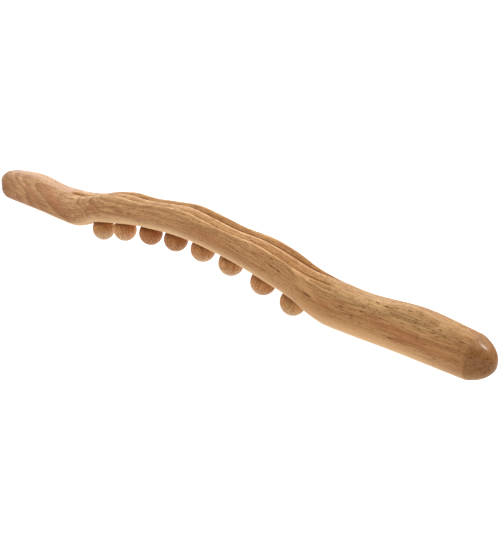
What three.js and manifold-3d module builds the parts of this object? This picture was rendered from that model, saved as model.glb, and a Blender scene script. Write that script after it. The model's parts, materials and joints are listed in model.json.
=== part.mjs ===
// Wooden roller massage stick: a beech bar with a rounded handle at each end and an arched middle,
// and a row of beech beads that turn on steel shoulder screws in the underside of the arch.
//
// Millimetres. +X runs along the stick, +Y across it, +Z up. The origin is midway along and across
// the stick, in the plane that the two lowest beads touch. The stick is its own mirror image along
// X and across Y.

import * as THREE from 'three';
import { LoftGeometry } from 'three/addons/geometries/LoftGeometry.js';
import { mergeVertices } from 'three/addons/utils/BufferGeometryUtils.js';
import Module from 'manifold-3d';

const wasm = await Module();
wasm.setup();

// ---------------------------------------------------------------- driving dimensions

// The bar.
const BAR_WIDTH = 26;
const CREASE_X = 250.5;            // where each handle ends and its dome starts
const DOME_LENGTH = 15.3;
const DOME_TIP_DROP = 0.9;         // of the dome's tip below the middle of the handle
const DOME_START_ANGLE = THREE.MathUtils.degToRad(22);   // how far round its ellipse a dome starts
const DOME_END_ANGLE = THREE.MathUtils.degToRad(86);     // and where it stops, at a small flat tip
const HANDLE_FLOOR = 5.6;          // underside of the handles, above the plane of the lowest beads

// Top and underside of one half of the bar: [distance from the middle, height above HANDLE_FLOOR].
const TOP_LINE = [
  [0, 49.3],                       // crown of the middle hump
  [25, 46.8],
  [50, 43.6],                      // dip beside the middle hump
  [78, 42.5],                      // shoulder
  [100, 38.4],
  [120, 33.7],
  [135, 32],
  [168, 29.4],                     // valley for the thumb
  [211, 32.5],                     // hump under the palm
  [CREASE_X, 28.6],
];
const UNDERSIDE_LINE = [
  [0, 26.3],                       // crown of the arch
  [50, 22.8],
  [80, 17.9],
  [112, 10.7],
  [128, 3.5],
  [142, -0.4],                     // knee
  [156, -0.8],
  [200, 0],
  [CREASE_X, 0],
];

// The bar's edges: their small radii in the middle grow to a hand-sized one on the handles.
const MIDDLE_TOP_EDGE = 2.1;
const MIDDLE_LOW_EDGE = 4.8;
const HANDLE_EDGE = 10;
const EDGE_BLEND = [88, 150];      // the distances from the middle between which they grow

// Two V-shaped grooves along the top of the middle leave three rounded ridges.
const RIDGE_SPACING = BAR_WIDTH / 2 - MIDDLE_TOP_EDGE;
const GROOVE_DEPTH = 3.4;
const GROOVE_END_X = 151;
const GROOVE_BOTTOM = 0.58;        // of the way from the middle ridge to an outer one
const RIDGE_ROUNDNESS = 0.25;      // 0 leaves sharp ridges
const GROOVE_EVENNESS = 6;         // how long the depth lasts before it runs out; 2 is a plain arc

// The beads, each on a screw square to the underside.
const BEAD_STATIONS = [16, 47, 81, 111];   // where the screws meet the underside
const BEAD_RADIUS = 10;
const BEAD_DROP = 6.9;             // from the underside down to the bead's centre
const BEAD_FLAT_RADIUS = 4;        // on top of the bead, under the washer
const HEAD_SEAT = -3.5;            // where the screw's head bears, from the bead's centre
const SEAT_CLEARANCE = 0.5;        // between a bead and its round seat in the underside
const GAP = 0.3;                   // between neighbouring pieces

const SHOULDER_RADIUS = 2;
const THREAD_RADIUS = 1.6;
const THREAD_LENGTH = 10;
const HEAD_RADIUS = 3.2;
const HEAD_HEIGHT = 2.4;
const HEX_KEY_RADIUS = 1.45;
const HEX_KEY_DEPTH = 1.3;
const WASHER_THICKNESS = 0.6;

// How finely the round surfaces are divided.
const MIDDLE_STEPS = 60;           // along the bar between the two creases
const DOME_STEPS = 4;
const EDGE_STEPS = 3;
const OUTER_WALL_STEPS = 3;        // from an outer ridge down to the bottom of its groove
const INNER_WALL_STEPS = 4;        // from there up to the middle ridge
const BEAD_STEPS = 16;             // around beads and seats
const BEAD_ARC_STEPS = 6;
const SCREW_STEPS = 10;            // around screws, washers and plugs

// ---------------------------------------------------------------- the bar's outline

// A smooth line through the points of one half of the bar, mirrored for the other half.
function smoothLine(points) {
  const slopes = points.map((point, i) => {
    if (i === 0) return 0;
    const before = points[i - 1];
    const after = points[Math.min(i + 1, points.length - 1)];
    return (after[1] - before[1]) / (after[0] - before[0]);
  });
  return (x) => {
    const distance = Math.min(Math.abs(x), CREASE_X);
    const i = Math.min(points.findLastIndex((point) => point[0] <= distance), points.length - 2);
    const [fromX, fromZ] = points[i];
    const [toX, toZ] = points[i + 1];
    const span = toX - fromX;
    const t = (distance - fromX) / span;
    return fromZ * (1 + 2 * t) * (1 - t) ** 2
      + slopes[i] * span * t * (1 - t) ** 2
      + toZ * (3 - 2 * t) * t ** 2
      - slopes[i + 1] * span * (1 - t) * t ** 2;
  };
}

const topLine = smoothLine(TOP_LINE);
const undersideLine = smoothLine(UNDERSIDE_LINE);
const topAt = (x) => HANDLE_FLOOR + topLine(x);
const undersideAt = (x) => HANDLE_FLOOR + undersideLine(x);

function edgeRadiusAt(x, middleRadius) {
  const grown = THREE.MathUtils.smoothstep(Math.abs(x), ...EDGE_BLEND);
  return THREE.MathUtils.lerp(middleRadius, HANDLE_EDGE, grown);
}

// How far the rounded edge lowers the top at (x, y).
function edgeDrop(x, y) {
  const radius = edgeRadiusAt(x, MIDDLE_TOP_EDGE);
  const past = Math.max(0, y - (BAR_WIDTH / 2 - radius)) / radius;
  return radius * (1 - Math.sqrt(1 - Math.min(1, past) ** 2));
}

// How far the grooves cut the top down at (x, y).
function grooveCut(x, y) {
  if (Math.abs(x) >= GROOVE_END_X || y >= RIDGE_SPACING) return 0;
  const share = y / RIDGE_SPACING;
  const fromRidge = share < GROOVE_BOTTOM ? share / GROOVE_BOTTOM : (1 - share) / (1 - GROOVE_BOTTOM);
  const across = (Math.hypot(fromRidge, RIDGE_ROUNDNESS) - RIDGE_ROUNDNESS)
    / (Math.hypot(1, RIDGE_ROUNDNESS) - RIDGE_ROUNDNESS);
  return GROOVE_DEPTH * across * (1 - Math.abs(x / GROOVE_END_X) ** GROOVE_EVENNESS);
}

// Points [y, z] of the right-hand half of the bar's section at x, from underside to middle ridge.
function halfSection(x) {
  const lowRadius = edgeRadiusAt(x, MIDDLE_LOW_EDGE);
  const topRadius = edgeRadiusAt(x, MIDDLE_TOP_EDGE);
  const side = BAR_WIDTH / 2;
  const points = [[0, undersideAt(x)]];
  for (let i = 0; i <= EDGE_STEPS; i++) {
    const angle = i / EDGE_STEPS * Math.PI / 2;
    points.push([
      side - lowRadius * (1 - Math.sin(angle)),
      undersideAt(x) + lowRadius * (1 - Math.cos(angle)),
    ]);
  }
  const ridgeAngle = Math.acos(1 - (side - RIDGE_SPACING) / topRadius);
  for (let i = 0; i < EDGE_STEPS; i++) {
    const y = side - topRadius * (1 - Math.cos(ridgeAngle * i / EDGE_STEPS));
    points.push([y, topAt(x) - edgeDrop(x, y)]);
  }
  const grooveY = RIDGE_SPACING * GROOVE_BOTTOM;
  const outerWall = Array.from({ length: OUTER_WALL_STEPS }, (_, i) => (
    THREE.MathUtils.lerp(RIDGE_SPACING, grooveY, i / OUTER_WALL_STEPS)
  ));
  const innerWall = Array.from({ length: INNER_WALL_STEPS + 1 }, (_, i) => (
    THREE.MathUtils.lerp(grooveY, 0, i / INNER_WALL_STEPS)
  ));
  for (const y of [...outerWall, ...innerWall]) {
    points.push([y, topAt(x) - edgeDrop(x, y) - grooveCut(x, y)]);
  }
  return points;
}

// The whole section at x, anticlockwise seen from +X.
function sectionAt(x) {
  const right = halfSection(x);
  const left = right.slice(1, -1).reverse().map(([y, z]) => [-y, z]);
  return [...right, ...left].map(([y, z]) => new THREE.Vector3(x, y, z));
}

// A ring of the dome on the +X end, at an angle round the dome's ellipse.
function domeRing(angle) {
  const reach = DOME_LENGTH / (1 - Math.sin(DOME_START_ANGLE));
  const x = CREASE_X + reach * (Math.sin(angle) - Math.sin(DOME_START_ANGLE));
  const size = Math.cos(angle) / Math.cos(DOME_START_ANGLE);
  const middle = (topAt(CREASE_X) + undersideAt(CREASE_X)) / 2;
  const drop = DOME_TIP_DROP * (x - CREASE_X) / DOME_LENGTH;
  return sectionAt(CREASE_X).map(
    (point) => new THREE.Vector3(x, point.y * size, middle - drop + (point.z - middle) * size),
  );
}

function barGeometry() {
  const middle = Array.from({ length: MIDDLE_STEPS + 1 }, (_, i) => (
    sectionAt(CREASE_X * (2 * i / MIDDLE_STEPS - 1))
  ));
  const dome = Array.from({ length: DOME_STEPS }, (_, i) => domeRing(
    THREE.MathUtils.lerp(DOME_START_ANGLE, DOME_END_ANGLE, (i + 1) / DOME_STEPS),
  ));
  const farDome = dome.toReversed().map(
    (ring) => ring.map((point) => new THREE.Vector3(-point.x, point.y, point.z)),
  );
  return new LoftGeometry([...farDome, ...middle, ...dome], { capStart: true, capEnd: true });
}

// ---------------------------------------------------------------- booleans and turned shapes

function solidOf(geometry) {
  const bare = new THREE.BufferGeometry();
  bare.setIndex(geometry.index);
  bare.setAttribute('position', geometry.getAttribute('position'));
  const welded = mergeVertices(bare);
  return new wasm.Manifold(new wasm.Mesh({
    numProp: 3,
    vertProperties: welded.getAttribute('position').array,
    triVerts: new Uint32Array(welded.index.array),
  }));
}

function geometryOf(solid) {
  const { vertProperties, triVerts } = solid.getMesh();
  const geometry = new THREE.BufferGeometry();
  geometry.setAttribute('position', new THREE.BufferAttribute(vertProperties, 3));
  geometry.setIndex(new THREE.BufferAttribute(triVerts, 1));
  geometry.computeVertexNormals();
  return geometry;
}

// A shape turned about the Z axis. The profile's points are [radius, height], from the bottom up
// on the outside, so that the faces point out.
function turned(profile, steps) {
  const points = profile.map(([radius, height]) => new THREE.Vector2(radius, height));
  return new THREE.LatheGeometry(points, steps).rotateX(Math.PI / 2);
}

// Points [radius, height] on a circle about the origin, from one height to another.
function arcPoints(radius, fromHeight, toHeight, steps) {
  const from = Math.asin(fromHeight / radius);
  const to = Math.asin(toHeight / radius);
  return Array.from({ length: steps + 1 }, (_, i) => {
    const angle = THREE.MathUtils.lerp(from, to, i / steps);
    return [radius * Math.cos(angle), radius * Math.sin(angle)];
  });
}

// ---------------------------------------------------------------- the pieces of one bead
// Each is built about the bead's centre, with +Z along the screw into the bar.

const BORE_RADIUS = SHOULDER_RADIUS + GAP;
const COUNTERBORE_RADIUS = HEAD_RADIUS + GAP;
const HEAD_BOTTOM = HEAD_SEAT - GAP - HEAD_HEIGHT;
const BEAD_TOP = Math.sqrt(BEAD_RADIUS ** 2 - BEAD_FLAT_RADIUS ** 2);
const COUNTERBORE_MOUTH = -Math.sqrt(BEAD_RADIUS ** 2 - COUNTERBORE_RADIUS ** 2);
const WASHER_BOTTOM = BEAD_TOP + GAP;
const SEAT_FLOOR = WASHER_BOTTOM + WASHER_THICKNESS + GAP;
const SHOULDER_TOP = SEAT_FLOOR - GAP;

function beadGeometry() {
  return turned([
    [BORE_RADIUS, HEAD_SEAT],
    [COUNTERBORE_RADIUS, HEAD_SEAT],
    ...arcPoints(BEAD_RADIUS, COUNTERBORE_MOUTH, BEAD_TOP, BEAD_ARC_STEPS),
    [BORE_RADIUS, BEAD_TOP],
    [BORE_RADIUS, HEAD_SEAT],
  ], BEAD_STEPS);
}

function screwGeometry() {
  const body = turned([
    [0, HEAD_BOTTOM],
    [HEAD_RADIUS, HEAD_BOTTOM],
    [HEAD_RADIUS, HEAD_SEAT - GAP],
    [SHOULDER_RADIUS, HEAD_SEAT - GAP],
    [SHOULDER_RADIUS, SHOULDER_TOP],
    [THREAD_RADIUS, SHOULDER_TOP],
    [THREAD_RADIUS, SHOULDER_TOP + THREAD_LENGTH],
    [0, SHOULDER_TOP + THREAD_LENGTH + THREAD_RADIUS],
  ], SCREW_STEPS);
  const hexKey = turned([
    [0, HEAD_BOTTOM - 1],
    [HEX_KEY_RADIUS, HEAD_BOTTOM - 1],
    [HEX_KEY_RADIUS, HEAD_BOTTOM + HEX_KEY_DEPTH],
    [0, HEAD_BOTTOM + HEX_KEY_DEPTH],
  ], 6);
  return geometryOf(solidOf(body).subtract(solidOf(hexKey)));
}

function washerGeometry() {
  const top = WASHER_BOTTOM + WASHER_THICKNESS;
  return turned([
    [BORE_RADIUS, WASHER_BOTTOM],
    [BEAD_FLAT_RADIUS, WASHER_BOTTOM],
    [BEAD_FLAT_RADIUS, top],
    [BORE_RADIUS, top],
    [BORE_RADIUS, WASHER_BOTTOM],
  ], SCREW_STEPS);
}

// The plug's foot carries on the bead's round surface.
function plugGeometry() {
  const foot = arcPoints(BEAD_RADIUS, -BEAD_RADIUS, -Math.sqrt(BEAD_RADIUS ** 2 - HEAD_RADIUS ** 2), 3);
  return turned([
    [0, -BEAD_RADIUS],
    ...foot.slice(1),
    [HEAD_RADIUS, HEAD_BOTTOM - GAP],
    [0, HEAD_BOTTOM - GAP],
  ], SCREW_STEPS);
}

// What is milled out of the bar for one bead: a round seat, a spot face for the washer and a pilot
// hole for the screw's thread.
function seatCutter() {
  const seatRadius = BEAD_RADIUS + SEAT_CLEARANCE;
  const spotRadius = BEAD_FLAT_RADIUS + GAP;
  const spotBottom = Math.sqrt(seatRadius ** 2 - spotRadius ** 2);
  const pilotTop = SHOULDER_TOP + THREAD_LENGTH + THREAD_RADIUS + GAP;
  const pilotRadius = THREAD_RADIUS + GAP;
  return turned([
    [0, 0],
    ...arcPoints(seatRadius, 0, spotBottom, BEAD_ARC_STEPS),
    [spotRadius, SEAT_FLOOR],
    [pilotRadius, SEAT_FLOOR],
    [pilotRadius, pilotTop - THREAD_RADIUS],
    [0, pilotTop],
  ], BEAD_STEPS);
}

// ---------------------------------------------------------------- materials

function beech(colour) {
  return new THREE.MeshStandardMaterial({ color: colour, roughness: 0.45, metalness: 0 });
}

const barBeech = beech(0xc69768);
const beadBeech = beech(0xb8855c);
const plugBeech = beech(0xa8744c);
const steel = new THREE.MeshStandardMaterial({ color: 0xb4b6ba, roughness: 0.3, metalness: 1 });

// ---------------------------------------------------------------- assembly

function namedMesh(name, geometry, material) {
  const mesh = new THREE.Mesh(geometry, material);
  mesh.name = name;
  return mesh;
}

// The frame of one bead: its origin at the bead's centre and +Z square to the underside.
function beadFrame(station) {
  const step = 0.01;
  const slope = (undersideAt(station + step) - undersideAt(station - step)) / (2 * step);
  const inwards = new THREE.Vector3(-slope, 0, 1).normalize();
  const frame = new THREE.Group();
  frame.quaternion.setFromUnitVectors(new THREE.Vector3(0, 0, 1), inwards);
  frame.position.set(station, 0, undersideAt(station)).addScaledVector(inwards, -BEAD_DROP);
  frame.updateMatrix();
  return frame;
}

const stick = new THREE.Group();
const farStations = BEAD_STATIONS.toReversed().map((station) => -station);
const beadFrames = [...farStations, ...BEAD_STATIONS].map(beadFrame);

let bar = solidOf(barGeometry());
for (const frame of beadFrames) {
  bar = bar.subtract(solidOf(seatCutter().applyMatrix4(frame.matrix)));
}
stick.add(namedMesh('stick_body', geometryOf(bar), barBeech));

beadFrames.forEach((frame, i) => {
  const number = i + 1;
  frame.add(namedMesh(`bead_${number}`, beadGeometry(), beadBeech));
  frame.add(namedMesh(`bead_plug_${number}`, plugGeometry(), plugBeech));
  frame.add(namedMesh(`shoulder_screw_${number}`, screwGeometry(), steel));
  frame.add(namedMesh(`washer_${number}`, washerGeometry(), steel));
  stick.add(frame);
});

export default stick;
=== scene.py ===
"""Looks of the wooden roller massage stick: a beech bar with a rounded handle at each end, and eight
beech beads that turn on steel shoulder screws under its arch. Lengths are in millimetres, and become
metres where a mesh or the camera is made. Only the floor's size and the lamps are given in metres."""

import json
import math

import bpy
from mathutils import Matrix, Vector, noise


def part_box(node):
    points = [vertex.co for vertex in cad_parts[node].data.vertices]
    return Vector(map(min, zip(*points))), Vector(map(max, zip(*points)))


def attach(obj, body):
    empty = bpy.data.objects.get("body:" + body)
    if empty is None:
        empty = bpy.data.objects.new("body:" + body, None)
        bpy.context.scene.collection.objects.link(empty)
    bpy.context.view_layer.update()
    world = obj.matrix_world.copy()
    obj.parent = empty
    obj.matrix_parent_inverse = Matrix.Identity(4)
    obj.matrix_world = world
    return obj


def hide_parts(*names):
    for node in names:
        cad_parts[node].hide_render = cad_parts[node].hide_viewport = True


MM = 0.001
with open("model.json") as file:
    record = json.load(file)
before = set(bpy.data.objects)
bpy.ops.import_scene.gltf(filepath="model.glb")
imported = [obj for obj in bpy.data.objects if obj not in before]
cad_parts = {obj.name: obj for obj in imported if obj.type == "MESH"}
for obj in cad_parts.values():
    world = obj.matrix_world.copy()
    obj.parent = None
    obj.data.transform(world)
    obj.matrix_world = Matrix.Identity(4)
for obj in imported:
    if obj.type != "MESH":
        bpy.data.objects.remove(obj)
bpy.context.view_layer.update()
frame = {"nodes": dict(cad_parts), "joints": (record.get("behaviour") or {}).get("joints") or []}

# ---------------------------------------------------------------- sizes

# The bar's edges and grooves, which its CAD node shows only coarsely.
MIDDLE_TOP_EDGE = 2.1
MIDDLE_LOW_EDGE = 4.8
HANDLE_EDGE = 10
EDGE_BLEND = (88, 150)            # the distances from the middle between which the edges grow
GROOVE_DEPTH = 3.4
GROOVE_END_X = 151
GROOVE_BOTTOM = 0.58              # of the way from the middle ridge to an outer one
RIDGE_ROUNDNESS = 0.25            # 0 leaves sharp ridges
GROOVE_EVENNESS = 6               # how long the depth lasts before it runs out; 2 is a plain arc
DOME_START = math.radians(22)
DOME_TIP_DROP = 0.9
CREASE_SOFTNESS = 0.012           # how much sanding rounds the crease where a dome starts
HAND_WOBBLE = 0.12                # unevenness that hand sanding leaves
HAND_WOBBLE_LENGTH = 24
HAND_WOBBLE_SEED = 1              # never 0, which would give another unevenness each run

# A bead, its plug, its screw and its washer, about the bead's centre with +Z along the screw.
BEAD_RADIUS = 10
BEAD_FLAT_RADIUS = 4
HEAD_SEAT = -3.5
SEAT_CLEARANCE = 0.5
GAP = 0.3
SHOULDER_RADIUS = 2
THREAD_RADIUS = 1.6
THREAD_CORE = 1.15
THREAD_LENGTH = 10
THREAD_PITCH = 1.5
HEAD_RADIUS = 3.2
HEAD_HEIGHT = 2.4
HEX_KEY_RADIUS = 1.45
HEX_KEY_DEPTH = 1.3
WASHER_THICKNESS = 0.6
CHAMFER = 0.25                    # on the rims of beads, plugs and screws
WASHER_BEVEL = 0.25               # of the washer's thickness
PLUG_CLEARANCE = 0.06             # round the plug in its counterbore

# How finely the round surfaces are divided.
BAR_RINGS = 600
DOME_RINGS = 28
FLAT_STEPS = 8
EDGE_STEPS = 7
OUTER_WALL_STEPS = 9              # from an outer ridge down to the bottom of its groove
INNER_WALL_STEPS = 11             # from there up to the middle ridge
BEAD_STEPS = 72
BEAD_ARC_STEPS = 32
SCREW_STEPS = 40
THREAD_STEPS = 8                  # rows in each turn of the thread
PLUG_FOOT_STEPS = 6
CRISP_ANGLE = math.radians(32)    # faces that meet at more than this have a crisp edge between them

# ---------------------------------------------------------------- mesh helpers


def mesh_object(name, points, faces, place=Matrix.Identity(4)):
    """An object made of faces, from points in millimetres about its own place."""
    mesh = bpy.data.meshes.new(name)
    mesh.from_pydata([Vector(point) * MM for point in points], [], faces)
    mesh.validate()
    made = bpy.data.objects.new(name, mesh)
    made.matrix_world = place
    bpy.context.scene.collection.objects.link(made)
    return made


def shade(piece):
    """Smooth shading, broken where faces meet at more than the crisp angle."""
    piece.data.shade_smooth()
    piece.data.set_sharp_from_angle(angle=CRISP_ANGLE)


def join_rings(rings):
    """Points and faces of a tube through equal rings of points. A ring of one point closes an end."""
    points = [point for ring in rings for point in ring]
    faces = []
    start = 0
    for ring, following in zip(rings, rings[1:]):
        after = start + len(ring)
        around = max(len(ring), len(following))
        for i in range(around):
            j = (i + 1) % around
            if len(ring) == 1:
                faces.append((start, after + j, after + i))
            elif len(following) == 1:
                faces.append((start + i, start + j, after))
            else:
                faces.append((start + i, start + j, after + j, after + i))
        start = after
    return points, faces


def turned(name, profile, steps, place, radius_at=None):
    """A shape turned about Z from [radius, height] points, bottom to top on the outside. A profile
    that ends where it starts makes a ring; radius_at may change a radius round the shape."""
    rings = []
    closed = profile[0] == profile[-1]
    for radius, height in profile[:-1] if closed else profile:
        if radius == 0:
            rings.append([(0, 0, height)])
            continue
        ring = []
        for i in range(steps):
            angle = 2 * math.pi * i / steps
            reach = radius_at(radius, height, angle) if radius_at else radius
            ring.append((reach * math.cos(angle), reach * math.sin(angle), height))
        rings.append(ring)
    points, faces = join_rings(rings)
    if closed:
        last = len(points) - steps
        for i in range(steps):
            j = (i + 1) % steps
            faces.append((last + i, last + j, j, i))
    return mesh_object(name, points, faces, place)


def arc(radius, from_height, to_height, steps):
    """Points [radius, height] on a circle about the origin, from one height to another."""
    first = math.asin(from_height / radius)
    last = math.asin(to_height / radius)
    angles = [first + (last - first) * i / steps for i in range(steps + 1)]
    return [(radius * math.cos(angle), radius * math.sin(angle)) for angle in angles]


def cut(piece, cutters):
    """Cuts the cutters out of the piece, and removes them."""
    for cutter in cutters:
        modifier = piece.modifiers.new("cut", "BOOLEAN")
        modifier.operation = "DIFFERENCE"
        modifier.solver = "MANIFOLD"
        modifier.object = cutter
    evaluated = piece.evaluated_get(bpy.context.evaluated_depsgraph_get())
    shape = bpy.data.meshes.new_from_object(evaluated)
    piece.modifiers.clear()
    piece.data = shape
    for cutter in cutters:
        bpy.data.objects.remove(cutter)


# ---------------------------------------------------------------- the bar


def smoothstep(low, high, value):
    t = min(1, max(0, (value - low) / (high - low)))
    return t * t * (3 - 2 * t)


def edge_radius(x, middle_radius):
    return middle_radius + (HANDLE_EDGE - middle_radius) * smoothstep(*EDGE_BLEND, abs(x))


def side_heights():
    """{x: (lowest, highest) point of the bar's flat side} at the rings of its CAD node."""
    found = {}
    for vertex in frame["nodes"]["stick_body"].data.vertices:
        x, y, z = vertex.co / MM
        if abs(y - half_width) < 0.001:
            low, high = found.get(round(x, 2), (z, z))
            found[round(x, 2)] = (min(low, z), max(high, z))
    return dict(sorted(found.items()))


def smooth_line(samples):
    """A smooth line through [x, height] samples at even steps of x."""
    first = samples[0][0]
    span = samples[1][0] - first
    heights = [height for _, height in samples]

    def at(x):
        place = min(max((x - first) / span, 0), len(heights) - 1)
        i = min(int(place), len(heights) - 2)
        t = place - i
        before, start, end, after = (heights[min(max(i + k, 0), len(heights) - 1)]
                                     for k in (-1, 0, 1, 2))
        from_slope = (end - before) / 2
        to_slope = (after - start) / 2
        return (start * (1 + 2 * t) * (1 - t) ** 2 + from_slope * t * (1 - t) ** 2
                + end * (3 - 2 * t) * t ** 2 - to_slope * (1 - t) * t ** 2)

    return at


half_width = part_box("stick_body")[1].y / MM
tip_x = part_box("stick_body")[1].x / MM
heights = side_heights()
crease_x = max(heights)
dome_reach = (tip_x - crease_x) / (1 - math.sin(DOME_START))
ridge_spacing = half_width - MIDDLE_TOP_EDGE
underside_at = smooth_line([(x, low - edge_radius(x, MIDDLE_LOW_EDGE))
                            for x, (low, _) in heights.items()])
top_at = smooth_line([(x, high + edge_radius(x, MIDDLE_TOP_EDGE))
                      for x, (_, high) in heights.items()])


def edge_drop(x, y):
    """How far the rounded edge lowers the top at (x, y)."""
    radius = edge_radius(x, MIDDLE_TOP_EDGE)
    past = min(1, max(0, y - (half_width - radius)) / radius)
    return radius * (1 - math.sqrt(1 - past ** 2))


def groove_cut(x, y):
    """How far the two V-shaped grooves cut the top down at (x, y)."""
    if abs(x) >= GROOVE_END_X or y >= ridge_spacing:
        return 0
    share = y / ridge_spacing
    from_ridge = min(share / GROOVE_BOTTOM, (1 - share) / (1 - GROOVE_BOTTOM))
    across = ((math.hypot(from_ridge, RIDGE_ROUNDNESS) - RIDGE_ROUNDNESS)
              / (math.hypot(1, RIDGE_ROUNDNESS) - RIDGE_ROUNDNESS))
    return GROOVE_DEPTH * across * (1 - abs(x / GROOVE_END_X) ** GROOVE_EVENNESS)


def steps(first, last, count):
    """Even steps from first up to, and without, last."""
    return [first + (last - first) * i / count for i in range(count)]


def half_section(x):
    """Points (y, z) of the right-hand half of the section at x, from underside to middle ridge."""
    low_radius = edge_radius(x, MIDDLE_LOW_EDGE)
    top_radius = edge_radius(x, MIDDLE_TOP_EDGE)
    underside, top = underside_at(x), top_at(x)
    points = [(y, underside) for y in steps(0, half_width - low_radius, FLAT_STEPS)]
    for angle in steps(0, math.pi / 2, EDGE_STEPS):
        points.append((half_width - low_radius * (1 - math.sin(angle)),
                       underside + low_radius * (1 - math.cos(angle))))
    points += [(half_width, z) for z in steps(underside + low_radius, top - top_radius, FLAT_STEPS)]
    ridge_angle = math.acos(1 - (half_width - ridge_spacing) / top_radius)
    for angle in steps(0, ridge_angle, EDGE_STEPS):
        y = half_width - top_radius * (1 - math.cos(angle))
        points.append((y, top - edge_drop(x, y)))
    groove_y = ridge_spacing * GROOVE_BOTTOM
    walls = steps(ridge_spacing, groove_y, OUTER_WALL_STEPS) + steps(groove_y, 0, INNER_WALL_STEPS)
    points += [(y, top - edge_drop(x, y) - groove_cut(x, y)) for y in walls + [0]]
    return points


def section_size(x):
    """How much a dome has shrunk the section at x: a piece of an ellipse, eased into the handle."""
    sine = min(1, max(0, math.sin(DOME_START) + (abs(x) - crease_x) / dome_reach))
    ellipse = math.sqrt(1 - sine ** 2) / math.cos(DOME_START)
    overlap = max(0, CREASE_SOFTNESS - abs(1 - ellipse)) / CREASE_SOFTNESS
    return min(1, ellipse) - overlap ** 2 * CREASE_SOFTNESS / 4


def ring_at(x):
    """The whole section at x, anticlockwise seen from +X, with the unevenness of hand sanding."""
    handle_x = math.copysign(min(abs(x), crease_x), x)
    right = half_section(handle_x)
    left = [(-y, z) for y, z in right[-2:0:-1]]
    size = section_size(x)
    middle = (top_at(handle_x) + underside_at(handle_x)) / 2
    drop = DOME_TIP_DROP * max(0, abs(x) - crease_x) / (tip_x - crease_x)
    ring = []
    for y, z in right + left:
        point = Vector((x, y * size, middle - drop + (z - middle) * size))
        wobble = noise.noise_vector(point / HAND_WOBBLE_LENGTH) * HAND_WOBBLE * size
        ring.append(point + Vector((0, wobble.y, wobble.z)))
    return ring


def bar_shape():
    """The bar before its seats are cut: rings along it, closed by a point at each dome's tip."""
    noise.seed_set(HAND_WOBBLE_SEED)
    dome = []
    for i in range(1, DOME_RINGS):
        angle = DOME_START + (math.pi / 2 - DOME_START) * i / DOME_RINGS
        dome.append(crease_x + dome_reach * (math.sin(angle) - math.sin(DOME_START)))
    middle = [crease_x * (2 * i / BAR_RINGS - 1) for i in range(BAR_RINGS + 1)]
    stations = [-x for x in reversed(dome)] + middle + dome
    tip_z = (top_at(crease_x) + underside_at(crease_x)) / 2 - DOME_TIP_DROP
    near_tip = crease_x + dome_reach * (1 - math.sin(DOME_START))
    rings = [[Vector((-near_tip, 0, tip_z))], *map(ring_at, stations), [Vector((near_tip, 0, tip_z))]]
    return mesh_object("beech_bar", *join_rings(rings))


# ---------------------------------------------------------------- the pieces of one bead

BORE_RADIUS = SHOULDER_RADIUS + GAP
COUNTERBORE_RADIUS = HEAD_RADIUS + GAP
PLUG_RADIUS = COUNTERBORE_RADIUS - PLUG_CLEARANCE
HEAD_BOTTOM = HEAD_SEAT - GAP - HEAD_HEIGHT
BEAD_TOP = math.sqrt(BEAD_RADIUS ** 2 - BEAD_FLAT_RADIUS ** 2)
WASHER_BOTTOM = BEAD_TOP + GAP
WASHER_TOP = WASHER_BOTTOM + WASHER_THICKNESS
SEAT_FLOOR = WASHER_TOP + GAP
SHOULDER_TOP = WASHER_TOP


def bead_shape(name, place):
    mouth_radius = COUNTERBORE_RADIUS + CHAMFER / 2
    mouth = -math.sqrt(BEAD_RADIUS ** 2 - mouth_radius ** 2)
    rim = math.sqrt(BEAD_RADIUS ** 2 - (BEAD_FLAT_RADIUS + CHAMFER) ** 2)
    return turned(name, [
        (BORE_RADIUS, HEAD_SEAT),
        (COUNTERBORE_RADIUS, HEAD_SEAT),
        (COUNTERBORE_RADIUS, mouth + CHAMFER / 2),
        *arc(BEAD_RADIUS, mouth, rim, BEAD_ARC_STEPS),
        (BEAD_FLAT_RADIUS, BEAD_TOP),
        (BORE_RADIUS + CHAMFER, BEAD_TOP),
        (BORE_RADIUS, BEAD_TOP - CHAMFER),
        (BORE_RADIUS, HEAD_SEAT),
    ], BEAD_STEPS, place)


def plug_shape(name, place):
    """The plug's foot carries on the bead's round surface, with its rim eased."""
    edge = PLUG_RADIUS - CHAMFER / 2
    foot = arc(BEAD_RADIUS, -BEAD_RADIUS, -math.sqrt(BEAD_RADIUS ** 2 - edge ** 2),
               PLUG_FOOT_STEPS)
    return turned(name, [
        (0, -BEAD_RADIUS),
        *foot[1:],
        (PLUG_RADIUS, foot[-1][1] + CHAMFER / 2),
        (PLUG_RADIUS, HEAD_BOTTOM - GAP),
        (0, HEAD_BOTTOM - GAP),
    ], SCREW_STEPS, place)


def thread_radius(radius, height, angle):
    """The radius round a screw, with a helical ridge along the threaded end."""
    if radius != THREAD_RADIUS:
        return radius
    turn = (height - SHOULDER_TOP) / THREAD_PITCH - angle / (2 * math.pi)
    ridge = 1 - 2 * abs(turn % 1 - 0.5)
    return THREAD_CORE + (THREAD_RADIUS - THREAD_CORE) * ridge


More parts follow.
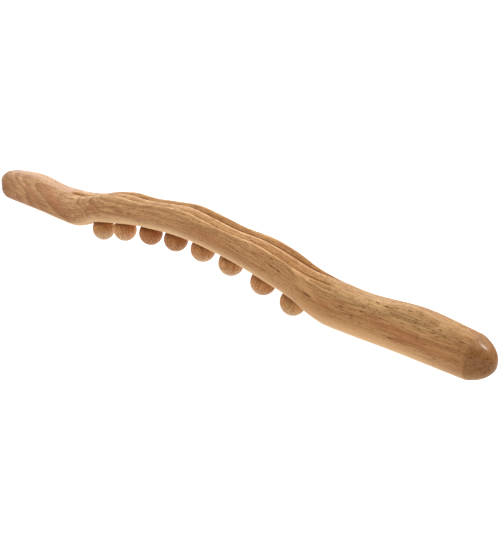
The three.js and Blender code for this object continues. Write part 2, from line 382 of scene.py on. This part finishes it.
def screw_shape(name, place):
    rows = round(THREAD_LENGTH / THREAD_PITCH * THREAD_STEPS)
    thread_tip = SHOULDER_TOP + THREAD_LENGTH
    screw = turned(name, [
        (0, HEAD_BOTTOM),
        (HEAD_RADIUS - CHAMFER, HEAD_BOTTOM),
        (HEAD_RADIUS, HEAD_BOTTOM + CHAMFER),
        (HEAD_RADIUS, HEAD_SEAT - GAP),
        (SHOULDER_RADIUS, HEAD_SEAT - GAP),
        (SHOULDER_RADIUS, SHOULDER_TOP - CHAMFER),
        (SHOULDER_RADIUS - CHAMFER, SHOULDER_TOP),
        *[(THREAD_RADIUS, SHOULDER_TOP + THREAD_LENGTH * row / rows) for row in range(rows + 1)],
        (THREAD_CORE, thread_tip),
        (0, thread_tip + THREAD_RADIUS),
    ], SCREW_STEPS, place, thread_radius)
    below = HEAD_BOTTOM - 1
    hex_key = turned("hex_key", [
        (0, below),
        (HEX_KEY_RADIUS, below),
        (HEX_KEY_RADIUS, HEAD_BOTTOM + HEX_KEY_DEPTH),
        (0, HEAD_BOTTOM + HEX_KEY_DEPTH),
    ], steps=6, place=place)
    cut(screw, [hex_key])
    return screw


def washer_shape(name, place):
    bevel = WASHER_THICKNESS * WASHER_BEVEL
    return turned(name, [
        (BORE_RADIUS, WASHER_BOTTOM),
        (BEAD_FLAT_RADIUS - bevel, WASHER_BOTTOM),
        (BEAD_FLAT_RADIUS, WASHER_BOTTOM + bevel),
        (BEAD_FLAT_RADIUS, WASHER_TOP - bevel),
        (BEAD_FLAT_RADIUS - bevel, WASHER_TOP),
        (BORE_RADIUS, WASHER_TOP),
        (BORE_RADIUS, WASHER_BOTTOM),
    ], SCREW_STEPS, place)


def seat_cutter(place):
    """What is milled out of the bar for one bead: a round seat, a spot face and a pilot hole."""
    seat_radius = BEAD_RADIUS + SEAT_CLEARANCE
    spot_radius = BEAD_FLAT_RADIUS + GAP
    pilot_radius = THREAD_RADIUS + GAP
    pilot_top = SHOULDER_TOP + THREAD_LENGTH + THREAD_RADIUS + GAP
    return turned("seat_cutter", [
        (0, 0),
        *arc(seat_radius, 0, math.sqrt(seat_radius ** 2 - spot_radius ** 2), BEAD_ARC_STEPS // 2),
        (spot_radius, SEAT_FLOOR),
        (pilot_radius, SEAT_FLOOR),
        (pilot_radius, pilot_top - THREAD_RADIUS),
        (0, pilot_top),
    ], BEAD_STEPS, place)


def bead_places():
    """{roller body: the place of its bead's centre, with +Z along its screw}, from the joints."""
    places = {}
    for joint in frame["joints"]:
        upright = Vector((0, 0, 1)).rotation_difference(Vector(joint["axis"]))
        places[joint["child"]] = Matrix.LocRotScale(Vector(joint["pos_m"]), upright, None)
    return places


# ---------------------------------------------------------------- materials


def srgb(red, green, blue):
    """A linear colour from its 0-255 screen values."""
    def linear(value):
        share = value / 255
        return share / 12.92 if share <= 0.04045 else ((share + 0.055) / 1.055) ** 2.4
    return (linear(red), linear(green), linear(blue), 1)


SPECK_CORE = 0.35                 # of a speck's size, where it is fully there
FULL_SPECKS = 0.4                 # of all specks, the share that isn't faint


class Finish:
    """A node material under way, with short calls for the nodes it uses. Values are sockets or
    numbers, and places are in millimetres."""

    def __init__(self, name):
        self.material = bpy.data.materials.new(name)
        self.material.use_nodes = True
        self.tree = self.material.node_tree
        self.tree.nodes.clear()

    def node(self, kind, inputs, **settings):
        made = self.tree.nodes.new("ShaderNode" + kind)
        for key, value in settings.items():
            setattr(made, key, value)
        for key, value in inputs.items():
            if isinstance(value, bpy.types.NodeSocket):
                self.tree.links.new(value, made.inputs[key])
            else:
                made.inputs[key].default_value = value
        return made

    def math(self, operation, *values):
        return self.node("Math", dict(enumerate(values)), operation=operation).outputs[0]

    def product(self, first, second):
        return self.math("MULTIPLY", first, second)

    def length(self, *parts):
        """The length of the vector with these parts."""
        return self.node("VectorMath", {0: self.point(*parts)}, operation="LENGTH").outputs["Value"]

    def place(self, turn=(0, 0, 0), shift=(0, 0, 0)):
        """The point on the piece in its own frame, in millimetres, turned and then shifted."""
        point = self.node("TexCoord", {}).outputs["Object"]
        return self.node("Mapping", {"Vector": point, "Scale": (1 / MM,) * 3, "Rotation": turn,
                                     "Location": shift}).outputs[0]

    def split(self, point):
        return self.node("SeparateXYZ", {0: point}).outputs

    def point(self, x, y, z):
        return self.node("CombineXYZ", {0: x, 1: y, 2: z}).outputs[0]

    def in_cells(self, point, cell):
        """The point, counted in cells of this length, width and height in millimetres."""
        return self.node("VectorMath", {0: point, 1: cell}, operation="DIVIDE").outputs["Vector"]

    def noise(self, point, cell, detail=2, roughness=0.5):
        """Cloudy noise from 0 to 1 whose blobs are about as big as a cell."""
        return self.node("TexNoise", {"Vector": self.in_cells(point, cell), "Scale": 1,
                                      "Detail": detail, "Roughness": roughness}).outputs[0]

    def specks(self, point, cell, size, share):
        """1 in the middle of specks, down to 0 at the size of their cells that they fill. Only a
        share of the cells have one, and some of those are faint."""
        cells = self.node("TexVoronoi", {"Vector": self.in_cells(point, cell), "Scale": 1,
                                         "Randomness": 1})
        speck = self.span(cells.outputs["Distance"], size, size * SPECK_CORE)
        chance = self.node("SeparateColor", {0: cells.outputs["Color"]}).outputs[0]
        return self.product(speck, self.span(chance, share, share * FULL_SPECKS))

    def span(self, value, low, high, to_low=0.0, to_high=1.0):
        """Maps low..high to to_low..to_high smoothly, and no further."""
        return self.node("MapRange", {"Value": value, "From Min": low, "From Max": high,
                                      "To Min": to_low, "To Max": to_high},
                         interpolation_type="SMOOTHSTEP").outputs[0]

    def mix(self, share, first, second, blend="MIX"):
        return self.node("Mix", {0: share, 6: first, 7: second}, data_type="RGBA",
                         blend_type=blend).outputs[2]

    def curve(self, value, points):
        """A smooth curve through [value, result] points, both from 0 to 1."""
        made = self.node("FloatCurve", {"Value": value})
        line = made.mapping.curves[0]
        line.points[0].location = points[0]
        line.points[1].location = points[-1]
        for point in points[1:-1]:
            line.points.new(*point)
        made.mapping.update()
        return made.outputs[0]

    def finish(self, **inputs):
        """Ends the tree in a Principled shader."""
        names = {key.replace("_", " ").title().replace("Ior", "IOR"): value
                 for key, value in inputs.items()}
        shader = self.node("BsdfPrincipled", names)
        output = self.node("OutputMaterial", {})
        self.tree.links.new(shader.outputs[0], output.inputs[0])
        return self.material


BEECH_LIGHT = srgb(192, 145, 95)
BEECH_MID = srgb(175, 129, 83)
BEECH_DARK = srgb(132, 84, 44)
BEECH_RED = srgb(156, 96, 58)
FLECK = srgb(96, 50, 22)
FLOOR_LIGHT_PAINT = srgb(228, 190, 144)

# Beech's grain: the length, width and height of its cells, and how strongly each part shows.
FIBRE_CELL = (14, 0.7, 0.7)
BAND_CELL = (80, 3.5, 3.5)
PATCH_CELL = (46, 12, 12)
STREAK_SCALE = 2.2                # how many times larger than a fleck's the cells of the streaks are
FLECK_SIZE = 0.36                 # of a cell
STREAK_SIZE = 0.32
STREAK_SHARE = 0.35               # of the cells that have a streak
LATE_STRENGTH = 0.85
FIBRE_STRENGTH = 0.66
PATCH_STRENGTH = 0.55
FLECK_STRENGTH = 0.75
FIBRE_RELIEF = 0.4                # a fibre's height, where a pore is 1 deep
LATE_EDGE = (0.0, 0.04)           # of a growth ring's width, over which its late wood starts
LATE_FADE = (0.75, 0.02)          # and over which it fades
FAINTEST_YEAR = 0.25              # how strongly the faintest growth ring shows

# The varnish.
VARNISH_ROUGHNESS = 0.42
COAT_ROUGHNESS = 0.24
SPECULAR = 0.08
COAT = 0.05
EXTRA_COAT = 0.18                 # on the domes and the top of the far handle
PORE_DEPTH = 0.05                 # millimetres

# The bar's pith, round which its growth rings lie, runs behind it and rises towards the far handle.
PITH_DEPTH = (-266, -150, 17, 32)     # from the front face, at the first x and at the second
PITH_HEIGHT = (-180, -60, 10, -12)    # above the underside, likewise
BAR_RING_SPACING = 3.4
BAR_SWAY = 6                      # of the rings in and out, over the length of a sway cell
BAR_SWAY_CELL = (60, 16, 16)
BAR_FLECK_CELL = (3.6, 0.95, 0.95)
SWIRL_SPAN = (-137, -79)          # where the rings bunch up and curl at the far knee
SWIRL_RINGS = 12                  # how far they are pushed together there
SWIRL_WANDER = 26                 # of the place where that happens, over the size of a wander cell
SWIRL_WANDER_CELL = (16, 14, 10)

# Where the bar's looks change. Each pair is where a change starts and where it is complete: along
# the bar (x, from -X at the far end), out from its middle, above its underside, or from a line.
RINGS_FADE = (-110, -70)          # x
FAR_RINGS, NEAR_RINGS = 1.0, 0.5  # how strongly the rings show on either side of that
FLECKS_GROW = (30, 120)           # x
FAR_FLECKS, NEAR_FLECKS = 0.35, 0.9
TOP_HEIGHT = (13, 26)             # of the painted light, paler towards the top
TOP_PAINTED_LIGHT_ENDS = (70, 130)     # x, as the near handle doesn't have it
NEAR_TOP_HEIGHT = (20, 30)        # of the yellower wood on the near handle's top
NEAR_TOP_STARTS = (110, 170)      # x
FLOOR_LIGHT_HEIGHT_FAR = (-150, -120, 5, 10)   # the height of the painted floor light along the lower edge, at the first x and at the second
FLOOR_LIGHT_HEIGHT_NEAR = (100, 160, 0, 3)     # what is added to it
FLOOR_LIGHT_STRENGTH = 0.7
RIDGED_HEIGHT = (10, 14)
RIDGES_END = (151, 141)           # out from the middle
CREST_HIGHLIGHT_WIDTH = (1.2, 0.2)         # from a ridge's crest
GROOVE_SHADE_GROWS = (-60, -110)      # x
NEAR_GROOVE_SHADE = 0.75               # of the far grooves' painted shade
GROOVE_CORE = 0.2                 # from the bottom of a groove
GROOVE_SHADE_LINES = ((3.6, 0.3, BEECH_DARK), (1.5, 0.9, FLECK))   # width each side, strength, paint
GROOVE_DULLNESS = (4, 2)          # from the bottom of a groove
HANDLE_END_SHADE = (215, 255)   # out from the middle
HANDLE_END_SHADE_STRENGTH = 0.45
DOME_EDGE = (crease_x - 0.4, crease_x + 1)
END_GRAIN_AND_SHADE_HEIGHT = (14, 27)       # over which the domes' stain and painted shade grow weaker
END_GRAIN_AND_SHADE_AT_TOP = 0.45
FAR_TOP_HEIGHT = (16, 28)         # of the thicker varnish on the far handle's top
FAR_TOP_STARTS = (-80, -130)      # x
GROOVE_Y = ridge_spacing * GROOVE_BOTTOM

# What parts of the bar's colour are multiplied by.
TOP_PAINTED_LIGHT = (1.28, 1.4, 1.55, 1)   # painted light on the top, also the painted highlights on the ridges' crests
NEAR_TOP_TINT = (0.95, 1.08, 1.16, 1)
# The domes' end-grain stain, darkened further as painted shade.
END_GRAIN_STAIN_AND_SHADE = (0.7, 0.64, 0.52, 1)

# Marks on the bar's front: x, height above the underside, half length, half height, slope, strength.
RED_MARKS = [
    # This first mark is a redder patch and also painted shade over the far end's front.
    (-242, 16, 16, 13, 0, 0.4),
    (-200, 17, 15, 5, -0.65, 0.75),
    (-166, 19, 30, 10, -0.3, 0.65),
    (-110, 13, 16, 5, -0.3, 0.5),
    (38, 12, 28, 5, 0, 0.35),
    (144, 18, 10, 3, -0.3, 0.5),
    (210, 17, 52, 4.5, -0.08, 0.4),
]
DARK_MARKS = [
    (-60, 11, 4, 0.8, 0, 0.8),
    (-48, 6, 4, 0.7, 0, 0.7),
    (130, 17.9, 6, 1.1, 0, 0.9),
]
LIGHT_MARKS = [
    (-224, 14, 9, 3.5, -0.15, 0.7),
    (125, 23, 24, 5, -0.3, 0.5),
    (165, 8, 80, 6, -0.03, 0.6),
]
FRONT_MARKED = (0, -8)            # y, from the middle of the bar towards its front face
MARK_CORE = 0.25                  # of a mark's size, where it is at full strength

# The beads' wood. Their painted light and shade change between heights above a bead's centre, along
# its screw, and multiply the colour of the wood: painted floor light low down, painted shade of the
# bar towards the top and a painted shadow at the neck. Each bead is lighter or darker, and redder or
# yellower.
BEAD_RING_SPACING = 2.2
BEAD_RING_STRENGTH = 0.7
BEAD_SWAY = 5
BEAD_SWAY_CELL = (30, 8, 8)
BEAD_FLECK_CELL = (3, 0.9, 0.9)
BEAD_STREAKS = 0.5
# Painted floor light, painted shade of the bar and a painted shadow at the neck.
BEAD_LOW_PAINTED_LIGHT = (1.12, 1.34, 1.9, 1)
BEAD_TOP_PAINTED_SHADE = (1.0, 0.9, 0.88, 1)
BEAD_NECK_PAINTED_SHADOW = (0.55, 0.42, 0.36, 1)
BEAD_TOP_HEIGHT = (-8, 1)
BEAD_NECK_HEIGHT = (1, 7)
BEAD_TINTS = (1.33, 1.33, 0.9, 0.95, 1.17, 1.23, 1.14, 1.25)
BEAD_REDNESS = (-0.1, -0.06, 0.18, 0.1, -0.03, -0.12, 0, -0.17)
BLUE_LOSS = 1.5                   # how much more blue than green redness takes away
PLUG_TINT = 0.85                  # of its bead's
BEAD_SHIFT = (31, 17)             # between one bead's place in the wood and the next one's
BEAD_LEAN = 0.06                  # between the grain of one bead and the next, in radians
UPRIGHT_BEAD = 4                  # whose grain doesn't lean

STEEL_DARK = srgb(176, 178, 182)
STEEL_BRIGHT = srgb(205, 207, 210)
STEEL_ROUGHNESS = (0.22, 0.4)     # in the turning marks and between them
TURNING_MARK_CELL = (0.12, 0.12, 1)   # outwards, along the axis, and unused
TURNING_MARK_DEPTH = 0.02
HAZE_CELL = (1.4, 1.4, 1.4)


def late_wood(f, distance, spacing):
    """1 just outside the edge of each growth ring, fading to 0 outwards, stronger in some years."""
    rings = f.math("DIVIDE", distance, spacing)
    within = f.math("FRACT", rings)
    year = f.node("TexWhiteNoise", {"W": f.math("FLOOR", rings)}, noise_dimensions="1D").outputs[0]
    late = f.product(f.span(within, *LATE_EDGE), f.span(within, *LATE_FADE))
    return f.product(late, f.span(year, 0.0, 1.0, FAINTEST_YEAR, 1.0))


def marks(f, x, y, height, colour, paint, places):
    """Soft elliptical marks of one paint on the bar's front."""
    front = f.span(y, *FRONT_MARKED)
    for mark_x, mark_height, half_length, half_height, slope, strength in places:
        along = f.math("SUBTRACT", x, mark_x)
        up = f.math("SUBTRACT", f.math("SUBTRACT", height, mark_height), f.product(along, slope))
        reach = f.length(f.math("DIVIDE", along, half_length), f.math("DIVIDE", up, half_height), 0)
        share = f.product(f.span(reach, 1.0, MARK_CORE, 0.0, strength), front)
        colour = f.mix(share, colour, paint)
    return colour


def beech_colour(f, wood, late, fleck_cell, streak_strength):
    """The colour of beech from its late wood, its relief and its pores: fibres, bands, red patches
    of heartwood, and the dark rays that mark beech, short as flecks and longer as streaks."""
    fibres = f.noise(wood, FIBRE_CELL, 2, 0.7)
    bands = f.noise(wood, BAND_CELL, 2)
    patches = f.noise(wood, PATCH_CELL, 2)
    flecks = f.specks(wood, fleck_cell, FLECK_SIZE, 1.0)
    streaks = f.specks(wood, [STREAK_SCALE * side for side in fleck_cell], STREAK_SIZE, STREAK_SHARE)
    colour = f.mix(f.span(bands, 0.3, 0.7), BEECH_MID, BEECH_LIGHT)
    colour = f.mix(f.product(late, LATE_STRENGTH), colour, BEECH_DARK)
    colour = f.mix(f.span(patches, 0.5, 0.75, 0.0, PATCH_STRENGTH), colour, BEECH_RED)
    colour = f.mix(f.span(fibres, 0.42, 0.62, 0.0, FIBRE_STRENGTH), colour, BEECH_DARK)
    colour = f.mix(f.product(flecks, FLECK_STRENGTH), colour, FLECK)
    colour = f.mix(f.product(streaks, streak_strength), colour, FLECK)
    pores = f.math("MAXIMUM", flecks, streaks)
    relief = f.math("SUBTRACT", f.product(fibres, FIBRE_RELIEF), pores)
    return colour, relief, pores


def varnish(f, colour, relief, dull, coat=COAT):
    """Ends a wood's tree in a satin varnish that sinks a little into its pores. It doesn't shine
    where dull is 1."""
    shine = f.math("SUBTRACT", 1.0, dull)
    bump = f.node("Bump", {"Strength": 0.25, "Distance": PORE_DEPTH * MM, "Height": relief})
    return f.finish(base_color=colour, roughness=VARNISH_ROUGHNESS, normal=bump.outputs[0],
                    coat_roughness=COAT_ROUGHNESS, specular_ior_level=f.product(shine, SPECULAR),
                    coat_weight=f.product(shine, coat))


def above_line(f, x, z, line):
    """How far z is above a line of [x, height] points that runs from -X to +X."""
    half = line[-1][0]
    tallest = max(height for _, height in line)
    shares = [((at + half) / (2 * half), height / tallest) for at, height in line]
    base = f.curve(f.math("DIVIDE", f.math("ADD", x, half), 2 * half), shares)
    return f.math("SUBTRACT", z, f.product(base, tallest))


def bar_late_wood(f, wood, x, y, height):
    """The bar's growth rings, which curl at the far knee and are fainter from there on."""
    pith_y = f.math("SUBTRACT", f.math("ADD", y, half_width), f.span(x, *PITH_DEPTH))
    pith_z = f.math("SUBTRACT", height, f.span(x, *PITH_HEIGHT))
    distance = f.length(0, pith_y, pith_z)
    sway = f.product(f.noise(wood, BAR_SWAY_CELL, 1), BAR_SWAY)
    swirl_x = f.math("ADD", x, f.product(f.noise(wood, SWIRL_WANDER_CELL, 0), SWIRL_WANDER))
    swirl = f.span(swirl_x, *SWIRL_SPAN, 0.0, SWIRL_RINGS)
    distance = f.math("ADD", f.math("ADD", distance, sway), swirl)
    late = late_wood(f, distance, BAR_RING_SPACING)
    return f.product(late, f.span(x, *RINGS_FADE, FAR_RINGS, NEAR_RINGS))


def painted_light_on_edges(f, x, height, colour):
    """The bar's colour with painted light: paler towards its top, yellower on the near handle's top,
    and pale along its lower edge as painted light from the floor.
    """
    # Painted light, paler towards the top of the bar.
    painted_top_light = f.product(f.span(height, *TOP_HEIGHT), f.span(x, *TOP_PAINTED_LIGHT_ENDS, 1.0, 0.0))
    colour = f.mix(painted_top_light, colour, TOP_PAINTED_LIGHT, "MULTIPLY")
    near_top = f.product(f.span(height, *NEAR_TOP_HEIGHT), f.span(x, *NEAR_TOP_STARTS))
    colour = f.mix(near_top, colour, NEAR_TOP_TINT, "MULTIPLY")
    # Painted light from the floor, pale along the bar's lower edge.
    floor_light_height = f.math("ADD", f.span(x, *FLOOR_LIGHT_HEIGHT_FAR), f.span(x, *FLOOR_LIGHT_HEIGHT_NEAR))
    low = f.span(f.math("DIVIDE", height, floor_light_height), 1, 0, 0.0, FLOOR_LIGHT_STRENGTH)
    return f.mix(low, colour, FLOOR_LIGHT_PAINT)


def ridged_top(f, x, y, reach, height, colour):
    """The bar's colour, with painted highlights along the crests of its ridges and painted shade in
    the grooves between them, more so towards the far handle. Also how much less the shaded grooves
    shine."""
    off_middle = f.math("ABSOLUTE", y)
    off_outer = f.math("ABSOLUTE", f.math("SUBTRACT", off_middle, ridge_spacing))
    off_groove = f.math("ABSOLUTE", f.math("SUBTRACT", off_middle, GROOVE_Y))
    on_top = f.product(f.span(height, *RIDGED_HEIGHT), f.span(reach, *RIDGES_END))
    # Painted highlights along the crests of the ridges.
    crest_highlight = f.span(f.math("MINIMUM", off_middle, off_outer), *CREST_HIGHLIGHT_WIDTH)
    colour = f.mix(f.product(crest_highlight, on_top), colour, TOP_PAINTED_LIGHT, "MULTIPLY")
    # Painted shade in the bottoms of the grooves.
    groove_shade = f.product(on_top, f.span(x, *GROOVE_SHADE_GROWS, NEAR_GROOVE_SHADE, 1.0))
    for width, strength, paint in GROOVE_SHADE_LINES:
        line = f.span(off_groove, width, GROOVE_CORE, 0.0, strength)
        colour = f.mix(f.product(line, groove_shade), colour, paint)
    return colour, f.product(f.span(off_groove, *GROOVE_DULLNESS), groove_shade)


def bar_beech(underside):
    """The bar's wood. Its grain follows the underside, given as [x, height] points."""
    f = Finish("bar_beech")
    x, y, z = f.split(f.place())
    reach = f.math("ABSOLUTE", x)
    height = above_line(f, x, z, underside)
    wood = f.point(x, y, height)
    late = bar_late_wood(f, wood, x, y, height)
    streak_strength = f.span(x, *FLECKS_GROW, FAR_FLECKS, NEAR_FLECKS)
    colour, relief, pores = beech_colour(f, wood, late, BAR_FLECK_CELL, streak_strength)
    for paint, places in ((BEECH_LIGHT, LIGHT_MARKS), (BEECH_RED, RED_MARKS), (FLECK, DARK_MARKS)):
        colour = marks(f, x, y, height, colour, paint, places)
    colour = painted_light_on_edges(f, x, height, colour)
    colour, groove_dullness = ridged_top(f, x, y, reach, height, colour)

    # The ends of the handles are darker with painted shade, and their domes soak up the stain and are
    # darker still with painted shade.
    # Painted shade at the ends of the handles.
    painted_end_shade = f.span(reach, *HANDLE_END_SHADE, 0.0, HANDLE_END_SHADE_STRENGTH)
    colour = f.mix(painted_end_shade, colour, BEECH_DARK)
    on_dome = f.span(reach, *DOME_EDGE)
    # The domes' end-grain stain with painted shade, stronger lower down.
    end_grain_and_shade = f.product(on_dome, f.span(height, *END_GRAIN_AND_SHADE_HEIGHT, 1.0, END_GRAIN_AND_SHADE_AT_TOP))
    colour = f.mix(end_grain_and_shade, colour, END_GRAIN_STAIN_AND_SHADE, "MULTIPLY")
    on_far_top = f.product(f.span(height, *FAR_TOP_HEIGHT), f.span(x, *FAR_TOP_STARTS))
    coat = f.math("MULTIPLY_ADD", f.math("ADD", on_dome, on_far_top), EXTRA_COAT, COAT)
    return varnish(f, colour, relief, f.math("MAXIMUM", pores, groove_dullness), coat)


def bead_beech(name, turn, shift, tint, redness):
    """A bead's wood, or its plug's. Paler low down as painted floor light, darker and redder towards
    the top of the bead as painted shade of the bar, and darkest at its neck as a painted shadow.
    """
    f = Finish(name)
    x, y, z = f.split(f.place(turn, shift))
    wood = f.point(x, y, z)
    sway = f.product(f.noise(wood, BEAD_SWAY_CELL, 1), BEAD_SWAY)
    late = late_wood(f, f.math("ADD", f.length(0, y, z), sway), BEAD_RING_SPACING)
    late = f.product(late, BEAD_RING_STRENGTH)
    colour, relief, pores = beech_colour(f, wood, late, BEAD_FLECK_CELL, BEAD_STREAKS)
    upright = f.split(f.place())[2]
    # Painted floor light low on the bead, painted shade of the bar towards its top, and a painted
    # shadow at its neck.
    bead_light_and_shade = f.mix(f.span(upright, *BEAD_TOP_HEIGHT), BEAD_LOW_PAINTED_LIGHT, BEAD_TOP_PAINTED_SHADE)
    bead_light_and_shade = f.mix(f.span(upright, *BEAD_NECK_HEIGHT), bead_light_and_shade, BEAD_NECK_PAINTED_SHADOW)
    own = (tint, tint * (1 - redness), tint * (1 - BLUE_LOSS * redness), 1)
    for filtered in (bead_light_and_shade, own):
        colour = f.mix(1.0, colour, filtered, "MULTIPLY")
    return varnish(f, colour, relief, pores)


def turned_steel():
    """Bright steel with the fine rings that turning leaves, and a little cloudiness."""
    f = Finish("turned_steel")
    place = f.place()
    x, y, z = f.split(place)
    rings = f.noise(f.point(f.length(x, y, 0), z, 0), TURNING_MARK_CELL, 2, 0.6)
    haze = f.noise(place, HAZE_CELL, 3)
    colour = f.mix(f.span(haze, 0.3, 0.7), STEEL_DARK, STEEL_BRIGHT)
    bump = f.node("Bump", {"Strength": 0.3, "Distance": TURNING_MARK_DEPTH * MM, "Height": rings})
    roughness = f.span(rings, 0.3, 0.7, *STEEL_ROUGHNESS)
    return f.finish(base_color=colour, metallic=1.0, roughness=roughness, normal=bump.outputs[0])


# ---------------------------------------------------------------- assembly


def fit(piece, body, node, material):
    """Puts a finished piece in a CAD node's place."""
    shade(piece)
    piece.data.materials.clear()
    piece.data.materials.append(material)
    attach(piece, body)
    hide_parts(node)


GRAIN_LINE_STEPS = 24
UPRIGHT_GRAIN = math.pi / 2


def grain_line():
    """The bar's underside, which its grain follows, as [x, height] points."""
    return [(x, underside_at(x)) for x in steps(-tip_x, tip_x, GRAIN_LINE_STEPS) + [tip_x]]


steel = turned_steel()
places = bead_places()
bar = bar_shape()
cut(bar, [seat_cutter(place) for place in places.values()])
fit(bar, "stick", "stick_body", bar_beech(grain_line()))

for number, (roller, place) in enumerate(places.items(), 1):
    turn = (BEAD_LEAN * (number - UPRIGHT_BEAD), UPRIGHT_GRAIN, 0)
    shift = (BEAD_SHIFT[0] * number, BEAD_SHIFT[1] * number, 0)
    tint = BEAD_TINTS[number - 1]
    redness = BEAD_REDNESS[number - 1]
    wood = bead_beech(f"bead_beech_{number}", turn, shift, tint, redness)
    plug_wood = bead_beech(f"plug_beech_{number}", (0, UPRIGHT_GRAIN, 0), shift, PLUG_TINT * tint,
                           redness)
    fit(bead_shape(f"beech_bead_{number}", place), roller, f"bead_{number}", wood)
    fit(plug_shape(f"beech_plug_{number}", place), roller, f"bead_plug_{number}",
        plug_wood)
    fit(screw_shape(f"steel_screw_{number}", place), "stick", f"shoulder_screw_{number}",
        steel)
    fit(washer_shape(f"steel_washer_{number}", place), "stick", f"washer_{number}", steel)

# ---------------------------------------------------------------- floor, light and camera

# In metres.
FLOOR_SIZE = 100                  # large enough for its edge never to show
FAR_LAMP = {"place": (-0.6, 0.3, 0.5), "target": (-0.26, 0, 0.03), "size": (0.4, 0.4)}
DOME_LAMP = {"place": (0.51, 0.33, 0.46), "target": (0.258, 0, 0.03), "size": (0.14, 0.1)}

# In watts.
FAR_LAMP_POWER = 1
DOME_LAMP_POWER = 2.5

WHITE = (1, 1, 1, 1)
FLOOR_PAPER = (0.45, 0.45, 0.45, 1)
FLOOR_GLOW = 0.85                 # as of a light table
SKY_BRIGHT_SIDE = (-0.5, 0.2, 0.9)
SKY_FADE = (0.1, 0.7, 0.05, 1.7)  # the cosines between which the sky fades, and its brightness there
CAMERA_PLACE = (432.6, -424.6, 230.5)     # millimetres
CAMERA_AZIMUTH = math.radians(40.8)
CAMERA_ELEVATION = math.radians(20.75)
CAMERA_ROLL = math.radians(3.74)
CAMERA_LENS = 52.1                # millimetres


def make_floor():
    half = FLOOR_SIZE / 2 / MM
    corners = [(-half, -half, 0), (half, -half, 0), (half, half, 0), (-half, half, 0)]
    floor = mesh_object("floor", corners, [(0, 1, 2, 3)])
    paper = Finish("white_paper")
    floor.data.materials.append(paper.finish(base_color=FLOOR_PAPER, roughness=0.9,
                                             specular_ior_level=0.0, emission_strength=FLOOR_GLOW,
                                             emission_color=WHITE))


def make_sky():
    """White studio surroundings, which light the stick mostly from above and from its far end. The
    camera itself sees plain white, so that the backdrop is even."""
    world = bpy.data.worlds.new("studio")
    bpy.context.scene.world = world
    world.use_nodes = True
    tree = world.node_tree
    background = tree.nodes["Background"]
    background.inputs["Color"].default_value = WHITE
    direction = tree.nodes.new("ShaderNodeTexCoord")
    towards = tree.nodes.new("ShaderNodeVectorMath")
    towards.operation = "DOT_PRODUCT"
    towards.inputs[1].default_value = Vector(SKY_BRIGHT_SIDE).normalized()
    fade = tree.nodes.new("ShaderNodeMapRange")
    fade.interpolation_type = "SMOOTHSTEP"
    for name, value in zip(("From Min", "From Max", "To Min", "To Max"), SKY_FADE):
        fade.inputs[name].default_value = value
    tree.links.new(direction.outputs["Generated"], towards.inputs[0])
    tree.links.new(towards.outputs["Value"], fade.inputs["Value"])
    seen = tree.nodes.new("ShaderNodeLightPath")
    strength = tree.nodes.new("ShaderNodeMath")
    strength.operation = "MAXIMUM"
    tree.links.new(fade.outputs[0], strength.inputs[0])
    tree.links.new(seen.outputs["Is Camera Ray"], strength.inputs[1])
    tree.links.new(strength.outputs[0], background.inputs["Strength"])


def make_lamp(name, place, target, size, power):
    lamp = bpy.data.lights.new(name, "AREA")
    lamp.shape = "RECTANGLE"
    lamp.size, lamp.size_y = size
    lamp.energy = power
    holder = bpy.data.objects.new(name, lamp)
    holder.location = place
    holder.rotation_euler = (Vector(target) - Vector(place)).to_track_quat("-Z", "Y").to_euler()
    bpy.context.scene.collection.objects.link(holder)


def make_camera():
    camera = bpy.data.objects.new("camera", bpy.data.cameras.new("camera"))
    camera.data.lens = CAMERA_LENS
    forward = Vector((-math.sin(CAMERA_AZIMUTH) * math.cos(CAMERA_ELEVATION),
                      math.cos(CAMERA_AZIMUTH) * math.cos(CAMERA_ELEVATION),
                      -math.sin(CAMERA_ELEVATION)))
    level_right = Vector((math.cos(CAMERA_AZIMUTH), math.sin(CAMERA_AZIMUTH), 0))
    level_up = level_right.cross(forward)
    right = level_right * math.cos(CAMERA_ROLL) + level_up * math.sin(CAMERA_ROLL)
    axes = Matrix((right, right.cross(forward), -forward)).transposed()
    camera.matrix_world = Matrix.Translation(Vector(CAMERA_PLACE) * MM) @ axes.to_4x4()
    bpy.context.scene.collection.objects.link(camera)
    bpy.context.scene.camera = camera


make_floor()
make_sky()
make_lamp("far_lamp", **FAR_LAMP, power=FAR_LAMP_POWER)
make_lamp("dome_lamp", **DOME_LAMP, power=DOME_LAMP_POWER)
make_camera()
bpy.context.scene.view_settings.view_transform = "Standard"
